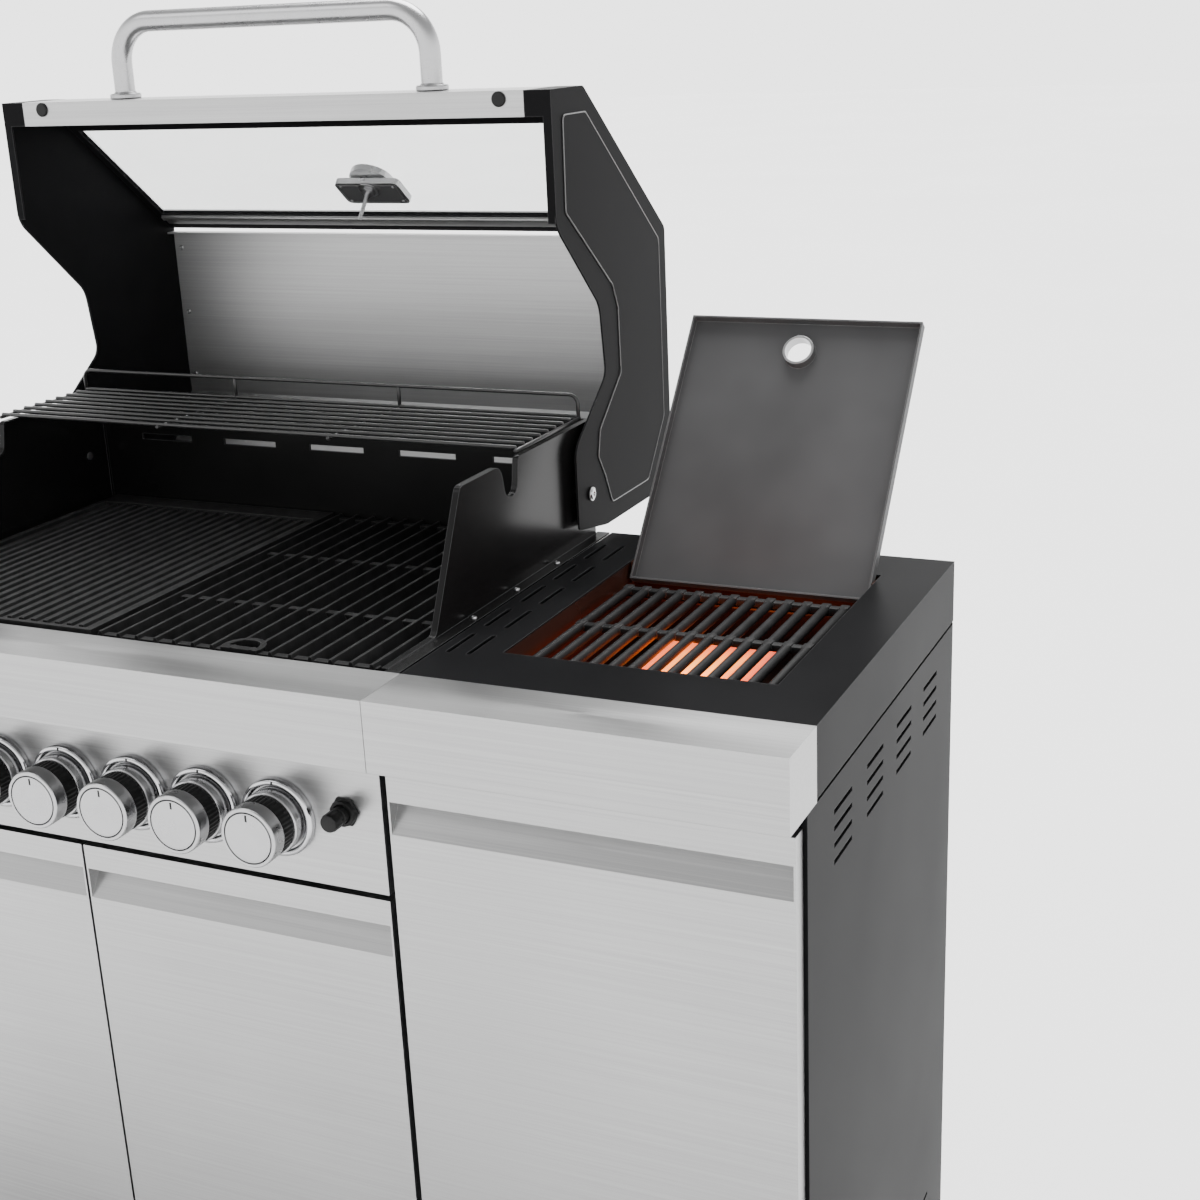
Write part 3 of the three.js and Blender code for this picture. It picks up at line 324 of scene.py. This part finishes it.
MATS = {
    "stainless": brushed("brushed_steel", 0.30, 0.40, 0.26, 0.38),
    "black_paint": coated("powder_coat", (0.0060, 0.0060, 0.0064), 0.36, 1100.0, 0.10,
                          shine=0.5, ior=1.07),
    "enamel": coated("black_enamel", (0.005, 0.005, 0.005), 0.22, 500.0, 0.05,
                     shine=0.5, ior=1.22),
    "cast_iron": cast("cast_iron", (0.008, 0.008, 0.0082)),
    "chrome": polished("chrome", (0.48, 0.48, 0.49), 0.10),
    "black_plastic": plastic("black_plastic", (0.006, 0.006, 0.006), 0.42),
    "window_glass": glass("heat_glass"),
    "burner_ceramic": glowing("glowing_ceramic"),
    "brass": polished("brass", (0.45, 0.31, 0.12), 0.28),
}
SKIN = brushed("brushed_hood_skin", 0.30, 0.40, 0.40, 0.52)
SATIN = polished("satin_steel", (0.38, 0.38, 0.385), 0.24)
MARK = plastic("black_mark", (0.006, 0.006, 0.006), 0.5)
WIRE = coated("wire_enamel", (0.010, 0.010, 0.010), 0.30, 600.0, 0.05, shine=0.4)
LID_GREY = coated("lid_coat", (0.048, 0.048, 0.049), 0.45, 1100.0, 0.08,
                  edge=(0.20, 0.20, 0.20), shine=0.15)
# the side burner's pan in a reddish-brown coat: the burner's red glow painted into its colour
PAN_GLOW_RED = coated("pan_enamel_painted_glow", (0.034, 0.014, 0.010), 0.26, 300.0, 0.08,
               edge=(0.06, 0.03, 0.02), shine=0.4, ior=1.3)
# a lighter coat for the pressed line on the hood's sides, a painted highlight
PRESSED_LINE_HIGHLIGHT = coated("bent_edge_painted_highlight", (0.060, 0.060, 0.061), 0.30, 900.0, 0.04,
                   edge=(0.20, 0.20, 0.20), shine=0.5)
GRIDDLE = cast("griddle_iron", (0.012, 0.012, 0.0122))

SPECIAL = {"hood_roof": SKIN, "side_burner_lid": LID_GREY, "griddle": GRIDDLE,
           "thermometer": SATIN, "side_burner_pan": PAN_GLOW_RED}

for part in frame["record"]["subparts"]:
    name = part["node"]
    if name in NODES:
        material = SPECIAL.get(name, MATS[part["material_slot"]])
        for slot in NODES[name].material_slots:
            slot.material = material

# ------------------------------------------------------------------ building pieces

DOME = 0.6               # length of a bar's domed end, in radii


class Piece:
    """One mesh, put together from turned, swept and boxed forms, in the row frame."""

    def __init__(self, *mats):
        self.bm = bmesh.new()
        self.mats = mats

    def ring(self, points):
        return [self.bm.verts.new(p) for p in points]

    def skin(self, rings, mats, closed_ends=True):
        for (a, b), mat in zip(zip(rings, rings[1:]), mats):
            count = max(len(a), len(b))
            for i in range(count):
                j = (i + 1) % count
                if len(a) == 1:
                    corners = (a[0], b[j], b[i])
                elif len(b) == 1:
                    corners = (a[i], a[j], b[0])
                else:
                    corners = (a[i], a[j], b[j], b[i])
                self.bm.faces.new(corners).material_index = mat
        if closed_ends:
            for end, mat in ((rings[0], mats[0]), (rings[-1], mats[-1])):
                if len(end) > 2:
                    self.bm.faces.new(end).material_index = mat

    def turned(self, profile, at, way, sides=32, mats=None, shape=None, loop=False):
        """profile is (radius, height) in mm; height runs along way from at."""
        turn = Vector((0, 0, 1)).rotation_difference(way).to_matrix()
        rings = []
        for row, (radius, height) in enumerate(profile):
            if radius == 0:
                rings.append(self.ring([at + turn @ Vector((0, 0, height / 1000))]))
                continue
            points = []
            for i in range(sides):
                angle = 2 * math.pi * i / sides
                r = radius + (shape(row, i) if shape else 0)
                local = Vector((r * math.cos(angle), r * math.sin(angle), height)) / 1000
                points.append(at + turn @ local)
            rings.append(self.ring(points))
        mats = mats or [0] * (len(rings) - 1)
        if loop:
            rings.append(rings[0])
            mats = list(mats) + [mats[-1]]
        self.skin(rings, mats, not loop)

    def tube(self, points, radius, sides=14, mat=0, cap=True):
        """A round bar along points, with domed ends, or flat ones where cap is off."""
        points = [Vector(p) for p in points]
        ways = [(b - a).normalized() for a, b in zip(points, points[1:])]
        bends = [(a + b).normalized() for a, b in zip(ways, ways[1:])]
        tangents = [ways[0]] + bends + [ways[-1]]
        r = radius / 1000
        side = tangents[0].orthogonal().normalized()
        stations = [(p, t, r) for p, t in zip(points, tangents)]
        if cap:
            head = [(points[0] + ways[0] * r * (1 - math.sqrt(1 - f * f)) * DOME,
                     ways[0], r * f) for f in (0.5, 0.85)]
            tail = [(points[-1] - ways[-1] * r * (1 - math.sqrt(1 - f * f)) * DOME,
                     ways[-1], r * f) for f in (0.85, 0.5)]
            inner = stations[1:-1]
            first = (points[0] + ways[0] * r * DOME, ways[0], r)
            last = (points[-1] - ways[-1] * r * DOME, ways[-1], r)
            stations = head + [first] + inner + [last] + tail
        rings = []
        previous = stations[0][1]
        for place, tangent, size in stations:
            side = previous.rotation_difference(tangent) @ side
            previous = tangent
            across = tangent.cross(side).normalized()
            rings.append(self.ring([
                place + (side * math.cos(a) + across * math.sin(a)) * size
                for a in (2 * math.pi * i / sides for i in range(sides))]))
        self.skin(rings, [mat] * (len(rings) - 1))

    def box(self, low, high, round_by=0.8, mat=0, segments=2, turn=None):
        """low and high are in the row frame, in metres; turn places a box made at the origin."""
        low, high = Vector(low), Vector(high)
        made = bmesh.ops.create_cube(self.bm, size=1.0)["verts"]
        middle = (low + high) / 2
        size = high - low
        for v in made:
            v.co = Vector((v.co.x * size.x, v.co.y * size.y, v.co.z * size.z)) + middle
        if round_by:
            edges = list({e for v in made for e in v.link_edges})
            out = bmesh.ops.bevel(self.bm, geom=edges, offset=round_by / 1000, segments=segments,
                                  affect="EDGES", profile=0.5)
            made = list({v for f in out["faces"] for v in f.verts}
                        | {v for v in made if v.is_valid})
        if turn is not None:
            for v in made:
                v.co = turn @ v.co
        for face in {f for v in made for f in v.link_faces}:
            face.material_index = mat

    def done(self, name, body, replaces=(), angle=35):
        bmesh.ops.recalc_face_normals(self.bm, faces=self.bm.faces)
        mesh = bpy.data.meshes.new(name)
        self.bm.to_mesh(mesh)
        self.bm.free()
        for mat in self.mats:
            mesh.materials.append(mat)
        for polygon in mesh.polygons:
            polygon.use_smooth = True
        mesh.set_sharp_from_angle(angle=math.radians(angle))
        obj = bpy.data.objects.new(name, mesh)
        bpy.context.scene.collection.objects.link(obj)
        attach(obj, body)
        if replaces:
            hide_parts(*replaces)
        return obj


def filleted(points, radius, steps=8):
    """The corners of a path of points rounded to a radius in mm."""
    points = [Vector(p) for p in points]
    path = [points[0]]
    for a, b, c in zip(points, points[1:], points[2:]):
        before, after = (a - b).normalized(), (c - b).normalized()
        half = before.angle(after) / 2
        back = radius / 1000 / math.tan(half)
        start, end = b + before * back, b + after * back
        centre = b + (before + after).normalized() * (radius / 1000 / math.sin(half))
        turn = (start - centre).rotation_difference(end - centre)
        for i in range(steps + 1):
            part_turn = Matrix.Rotation(turn.angle * i / steps, 3, turn.axis)
            path.append(centre + part_turn @ (start - centre))
    path.append(points[-1])
    return path


def screws(name, places, body, mat, radius=4.0, height=2.0):
    """Domed screw heads with a round socket; places are (point, way out)."""
    piece = Piece(mat)
    for at, way in places:
        piece.turned([(radius, 0.0), (radius, 0.3 * height), (0.86 * radius, 0.75 * height),
                      (0.55 * radius, height), (0.45 * radius, height),
                      (0.42 * radius, 0.35 * height), (0, 0.3 * height)], at, way, 18)
    return piece.done(name, body)


# ------------------------------------------------------------------ hood handle

UP = Vector((0, 0, 1))
FRONT = Vector((0, -1, 0))
RIGHT = Vector((1, 0, 0))

HANDLE_MID = -6.0
HANDLE_HALF = 206.0
HANDLE_Z = 46.0
HANDLE_CROWN = -14.2
HANDLE_FOOT = 70.6
HANDLE_BEND = 46
HANDLE_RADIUS = 11.8


def make_handle():
    piece = Piece(SATIN)
    corners = [hood(HANDLE_MID + x, y, HANDLE_Z) for x, y in (
        (-HANDLE_HALF, HANDLE_FOOT), (-HANDLE_HALF, HANDLE_CROWN),
        (HANDLE_HALF, HANDLE_CROWN), (HANDLE_HALF, HANDLE_FOOT))]
    piece.tube(filleted(corners, HANDLE_BEND, 14), HANDLE_RADIUS, 28, cap=False)
    for side in (-1, 1):
        foot = hood(HANDLE_MID + side * HANDLE_HALF, HANDLE_FOOT, HANDLE_Z)
        piece.turned([(6, -2), (17.2, 0), (18, 0.8), (18, 4.2), (17, 5.6), (13.4, 6),
                      (12.4, 7.4), (11.6, 7.6)], foot, UP, 40)
        piece.turned([(6, -12), (6, -1)], foot, UP, 16)
    piece.done("handle_bar", "hood", ["hood_handle"])


# ------------------------------------------------------------------ knobs

KNOBS = 7
RIBS = 84
PANEL_Y = 0.025          # the control panel's face, from the worktop's front edge, in metres


def on_panel(node):
    """The point of the control panel's face at the middle of a node."""
    low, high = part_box(node)
    return Vector(((low.x + high.x) / 2, PANEL_Y - DECK_Y, (low.z + high.z) / 2))


def make_knob(index):
    panel = on_panel(f"bezel_{index}")
    ring = Piece(MATS["chrome"], SATIN, MARK)
    ring.turned([(6, 0.4), (40, 0.4), (40, 4.6), (39.3, 6.4), (37.8, 7.6), (36.2, 8.0), (34.8, 7.4),
                 (34.2, 5.2), (33.4, 4.0), (12, 3.0), (6, 3.0)], panel, FRONT, 64,
                [0, 0, 0, 0, 0, 0, 0, 0, 1, 1], loop=True)
    tip = panel + Vector((0, -0.0079, 0.0358))
    ring.box(tip + Vector((-0.0011, -0.0001, -0.0010)), tip + Vector((0.0011, 0.0003, 0.0024)),
             0.15, 2, 1)
    ring.done(f"knob_ring_{index}", "frame", [f"bezel_{index}"])

    knob = Piece(SATIN, MATS["black_plastic"], MARK)

    def knurl(row, i):
        return (0.0 if (i + row) % 2 else -0.7) if 2 <= row <= 8 else 0

    def ribbed(row, i):
        return (0.5 if i % 2 else -0.3) if 1 <= row <= 4 else 0

    knob.turned([(5, 4.6), (30.8, 4.6), (31.7, 5.6), (31.7, 19.0), (30.8, 20.2), (28.0, 20.6)],
                panel, FRONT, 64, [0] * 5)
    knob.turned([(27.8, 20.4), (29.2, 21.2), (29.4, 26), (29.4, 31), (29.2, 35.4), (27.6, 36.6)],
                panel, FRONT, RIBS, [1] * 5, ribbed)
    knob.turned([(27, 36.4), (29.8, 36.8), (30.5, 37.6), (30.5, 39.8), (30.5, 42.0), (30.5, 44.2),
                 (30.5, 46.4), (30.5, 48.6), (30.5, 50.4), (30.0, 51.8), (29.2, 52.6), (26.4, 52.7)],
                panel, FRONT, RIBS, [0] * 11, knurl)
    knob.turned([(26.6, 52.2), (26.6, 52.7), (25.0, 52.7), (24.7, 52.1), (23.9, 52.1),
                 (23.6, 52.7), (12, 52.6), (0, 52.6)], panel, FRONT, 64, [0, 0, 0, 2, 2, 0, 0])
    face = panel + Vector((0, -0.0526, 0))
    knob.box(face + Vector((-0.0012, -0.0002, 0.0165)), face + Vector((0.0012, 0.0006, 0.0235)),
             0.15, 2, 1)
    knob.turned([(0, -22), (4, -22), (4, 6), (0, 6)], panel, FRONT, 16, [1] * 3)
    knob.done(f"knob_body_{index}", f"dial_{index}", [f"knob_{index}"])


def make_igniter():
    panel = on_panel("ignition_button")
    base = Piece(MATS["black_plastic"])
    base.turned([(10.2, 0.3), (15.5, 0.3), (15.5, 2.2), (14.6, 3.0), (10.2, 3.0)],
                panel, FRONT, 6, [0] * 4, loop=True)
    base.turned([(9.8, 2.0), (13.4, 2.0), (13.4, 6.5), (12.4, 8.0), (9.8, 8.0)],
                panel, FRONT, 40, [0] * 4,
                lambda row, i: -0.5 if i % 4 < 2 and row in (1, 2) else 0, loop=True)
    base.done("igniter_base", "frame")
    button = Piece(MATS["black_plastic"])
    button.turned([(0, -16), (9.0, -16), (9.0, 14.5), (8.2, 15.0), (8.2, 17.2), (9.2, 17.8),
                   (9.2, 28.6), (8.4, 30.2), (6.6, 30.9), (0, 30.6)], panel, FRONT, 40, [0] * 9,
                  lambda row, i: -0.6 if i % 4 < 2 and row in (5, 6) else 0)
    button.done("igniter_button", "igniter", ["ignition_button"])


# ------------------------------------------------------------------ racks and grates

RACK_END = 346.5
RACK_Z = 139.0
RACK_FRONT = 368.0
RACK_DEPTH = 154.0
RACK_WIRES = 9
WIRE_R = 2.2


def make_rack():
    piece = Piece(WIRE)
    back = RACK_FRONT + RACK_DEPTH
    for i in range(RACK_WIRES):
        y = RACK_FRONT + i * RACK_DEPTH / (RACK_WIRES - 1)
        top = RACK_Z + 2 * WIRE_R
        piece.tube([world(-RACK_END, y, top), world(RACK_END, y, top)], WIRE_R, 12)
    for x in (-RACK_END, -RACK_END / 3, RACK_END / 3, RACK_END):
        piece.tube([world(x, RACK_FRONT - 4, RACK_Z + 1.3), world(x, back + 4, RACK_Z + 1.3)],
                   WIRE_R, 12)
    rail = RACK_Z + 24 + 2 * WIRE_R
    piece.tube(filleted([world(-RACK_END, back, RACK_Z), world(-RACK_END, back, rail),
                         world(RACK_END, back, rail), world(RACK_END, back, RACK_Z)], 10), WIRE_R, 12)
    for x in (-RACK_END / 3, RACK_END / 3):
        piece.tube([world(x, back, RACK_Z), world(x, back, rail)], WIRE_R, 12)
    piece.done("rack_wires", "rack_lift", ["warming_rack"])


SIDE_BARS = 13
SIDE_PITCH = 20.0
SIDE_MID = 567.0
SIDE_Y = (168.0, 423.3)
SIDE_TOP = -14.0


def make_side_grate():
    piece = Piece(MATS["cast_iron"])
    half = SIDE_PITCH * (SIDE_BARS - 1) / 2
    for i in range(SIDE_BARS):
        x = SIDE_MID - half + i * SIDE_PITCH
        piece.tube([world(x, SIDE_Y[0], SIDE_TOP - 5), world(x, SIDE_Y[1], SIDE_TOP - 5)],
                   5.0, 14)
        for y in (SIDE_Y[0] + 6, (SIDE_Y[0] + SIDE_Y[1]) / 2, SIDE_Y[1] - 6):
            piece.box(world(x - 5, y - 6, SIDE_TOP - 8), world(x + 5, y + 6, SIDE_TOP - 0.4), 1.2)
    for y in (SIDE_Y[0] + 1, (SIDE_Y[0] + SIDE_Y[1]) / 2 - 5, SIDE_Y[1] - 11):
        piece.box(world(SIDE_MID - half, y, SIDE_TOP - 9.5),
                  world(SIDE_MID + half, y + 10, SIDE_TOP - 2), 1.4)
    piece.done("side_grate_bars", "side_grate_lift", ["side_grate"])


# ------------------------------------------------------------------ small fittings

GAUGE_X = 7              # the dial's plate on the window slope: across, up and outwards
GAUGE_S = 186
GAUGE_D = -12.8


def make_thermometer():
    """The dial's plate with its nut and screws, and the sill above it."""
    piece = Piece(LID_GREY, SATIN)
    turn = Matrix((RIGHT, -(window(0, 1, 0) - window(0, 0, 0)).normalized(), WINDOW_IN)).transposed()
    place = Matrix.Translation(window(GAUGE_X, GAUGE_S, GAUGE_D)) @ turn.to_4x4()
    piece.box((-0.041, -0.018, 0), (0.041, 0.018, 0.0008), 0.3, 0, 1, place)
    nut = window(GAUGE_X, GAUGE_S - 9, GAUGE_D)
    piece.turned([(3, 0.6), (13, 0.6), (13, 1.8), (12, 2.4), (3, 2.4)],
                 nut, WINDOW_IN, 28, [1] * 4, loop=True)
    piece.done("gauge_plate", "hood")
    sill = Piece(SKIN)
    place = Matrix.Translation(window(0, 251, -10.2)) @ turn.to_4x4()
    sill.box((-0.352, -0.0105, 0), (0.352, 0.0095, 0.0012), 0.4, 0, 2, place)
    sill.box((-0.352, 0.0015, 0.0010), (0.352, 0.0090, 0.0042), 1.2, 0, 3, place)
    sill.done("window_sill", "hood")
    corners = [(window(GAUGE_X + x, GAUGE_S + s, -13.4), WINDOW_IN)
               for x in (-37, 37) for s in (-15, 15)]
    screws("gauge_screws", corners, "hood", SATIN, 2.0, 1.2)


# corners of the side plate's raised field, as (y, z) of the closed hood
FIELD = [(98, 28), (198, 25), (290, 138), (318, 151), (393, 152), (446, 88), (476, 81),
         (503, 98), (537, 114), (537, 221), (470, 276), (256, 276), (98, 84)]
SIDE_FACE = 362.7        # the side plate's outer face, from the middle


def make_side_lines():
    """The pressed line that follows the hood's side plate, a bright edge round its raised field, in a
    lighter coat: a painted highlight.
    """
    for side, label in ((1, "right"), (-1, "left")):
        piece = Piece(PRESSED_LINE_HIGHLIGHT)
        corners = [hood(side * SIDE_FACE, y, z) for y, z in FIELD]
        start = (corners[0] + corners[-1]) / 2
        piece.tube(filleted([start] + corners + [start], 7, 5), 0.8, 8, cap=False)
        piece.done(f"hood_line_highlight_{label}", "hood")


def make_fittings():
    bumper = Piece(MATS["black_plastic"])
    for x in (-302, 302):
        bumper.turned([(8, 0), (8, 1.5), (6.9, 2.4), (0, 2.6)], hood(x, 79.5, 3), FRONT, 28)
    bumper.done("hood_bumpers", "hood")

    skin = [(world(side * 349, 751.4, z), FRONT) for side in (-1, 1) for z in (118, 205, 292)]
    screws("skin_screws", skin, "hood", SATIN, 3.6, 1.8)
    bars = [(window(x, 28, -10), WINDOW_IN) for x in (-300, -180, -60, 60, 180, 300)]
    screws("window_screws", bars, "hood", SATIN, 2.6, 1.4)
    pivots = [(world(side * 364.6, *HOOD_PIVOT), RIGHT * side) for side in (-1, 1)]
    screws("hinge_screws", pivots, "frame", MATS["chrome"], 6.5, 1.9)
    rails = [(world(side * 357, y, 0), UP) for side in (-1, 1) for y in (234, 330, 428)]
    screws("rail_screws", rails, "frame", SATIN, 3.4, 1.7)

    ring = Piece(SATIN)
    middle = lid(569, 195, 0)
    ring.turned([(15.0, -12.6), (17.6, -12.6), (17.6, -11.6), (16.2, -11.4), (16.2, 0.2), (15.0, 0.2)],
                middle, lid_way(0, 1), 48, [0] * 5, loop=True)
    ring.done("lid_hole_rim", "side_lid")


make_handle()
for number in range(1, KNOBS + 1):
    make_knob(number)
make_igniter()
make_rack()
make_side_grate()
make_thermometer()
make_side_lines()
make_fittings()

# ------------------------------------------------------------------ studio

KEY_POWER = 40
SUN_STRENGTH = 7.5
SUN_WIDTH = 50           # degrees
GLOW_POWER = 1.6
SKY_LOW, SKY_HIGH = 3.0, 0.75

bpy.ops.mesh.primitive_plane_add(size=60, location=(0, 0, -0.0005))
floor = bpy.context.object
floor.name = "studio_floor"
ground = Nodes("pale_floor")
ground.base(ground.ramp(ground.noise(0.6), [(0.3, 0.93), (0.7, 0.96)]))
ground.put("Roughness", 0.9)
floor.data.materials.append(ground.mat)

sky = bpy.data.worlds.new("studio")
bpy.context.scene.world = sky
sky.use_nodes = True
tree = sky.node_tree
way = tree.nodes.new("ShaderNodeSeparateXYZ")
tree.links.new(tree.nodes.new("ShaderNodeTexCoord").outputs["Generated"], way.inputs[0])
fade = tree.nodes.new("ShaderNodeMapRange")
fade.interpolation_type = "SMOOTHSTEP"
for key, value in (("From Min", 0.12), ("From Max", 0.62), ("To Min", SKY_LOW), ("To Max", SKY_HIGH)):
    fade.inputs[key].default_value = value
tree.links.new(way.outputs[2], fade.inputs["Value"])
tree.links.new(fade.outputs["Result"], tree.nodes["Background"].inputs["Strength"])
tree.nodes["Background"].inputs["Color"].default_value = (1, 1, 1, 1)


def softbox(name, place, target, size, energy):
    light = bpy.data.lights.new(name, "AREA")
    light.shape = "RECTANGLE"
    light.size, light.size_y = size
    light.energy = energy
    obj = bpy.data.objects.new(name, light)
    obj.location = place
    obj.rotation_euler = (Vector(target) - Vector(place)).to_track_quat("-Z", "Y").to_euler()
    bpy.context.scene.collection.objects.link(obj)


softbox("key", (-2.4, -2.2, 4.2), (0, 0, 0.8), (2.4, 1.6), KEY_POWER)
top = bpy.data.lights.new("top", "SUN")
top.energy = SUN_STRENGTH
top.angle = math.radians(SUN_WIDTH)
overhead = bpy.data.objects.new("top", top)
overhead.rotation_euler = Vector((0.10, -0.50, -1)).to_track_quat("-Z", "Y").to_euler()
bpy.context.scene.collection.objects.link(overhead)

low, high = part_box("side_burner_ceramic")
glow = bpy.data.lights.new("burner_glow", "POINT")
glow.energy = GLOW_POWER
glow.color = (1.0, 0.13, 0.02)
glow.shadow_soft_size = 0.05
glow_place = bpy.data.objects.new("burner_glow", glow)
glow_place.location = ((low.x + high.x) / 2, (low.y + high.y) / 2, high.z + 0.012)
bpy.context.scene.collection.objects.link(glow_place)

# ------------------------------------------------------------------ camera

AZIMUTH = math.radians(25.004)
ELEVATION = math.radians(18.272)
ROLL = math.radians(2.539)
CAMERA_PLACE = (1.1862, -1.6054, 1.4756)
LENS = 53.25
sin_a, cos_a = math.sin(AZIMUTH), math.cos(AZIMUTH)
sin_e, cos_e = math.sin(ELEVATION), math.cos(ELEVATION)
forward = Vector((-sin_a * cos_e, cos_a * cos_e, -sin_e))
level = Vector((cos_a, sin_a, 0))
down = forward.cross(level)
across = level * math.cos(ROLL) + down * math.sin(ROLL)
below = down * math.cos(ROLL) - level * math.sin(ROLL)
camera = bpy.data.objects.new("camera", bpy.data.cameras.new("camera"))
camera.data.lens = LENS
camera.data.sensor_width = 36.0
camera.data.clip_end = 200
camera.matrix_world = (Matrix.Translation(CAMERA_PLACE)
                       @ Matrix((across, -below, -forward)).transposed().to_4x4())
bpy.context.scene.collection.objects.link(camera)
bpy.context.scene.camera = camera

bpy.context.view_layer.update()
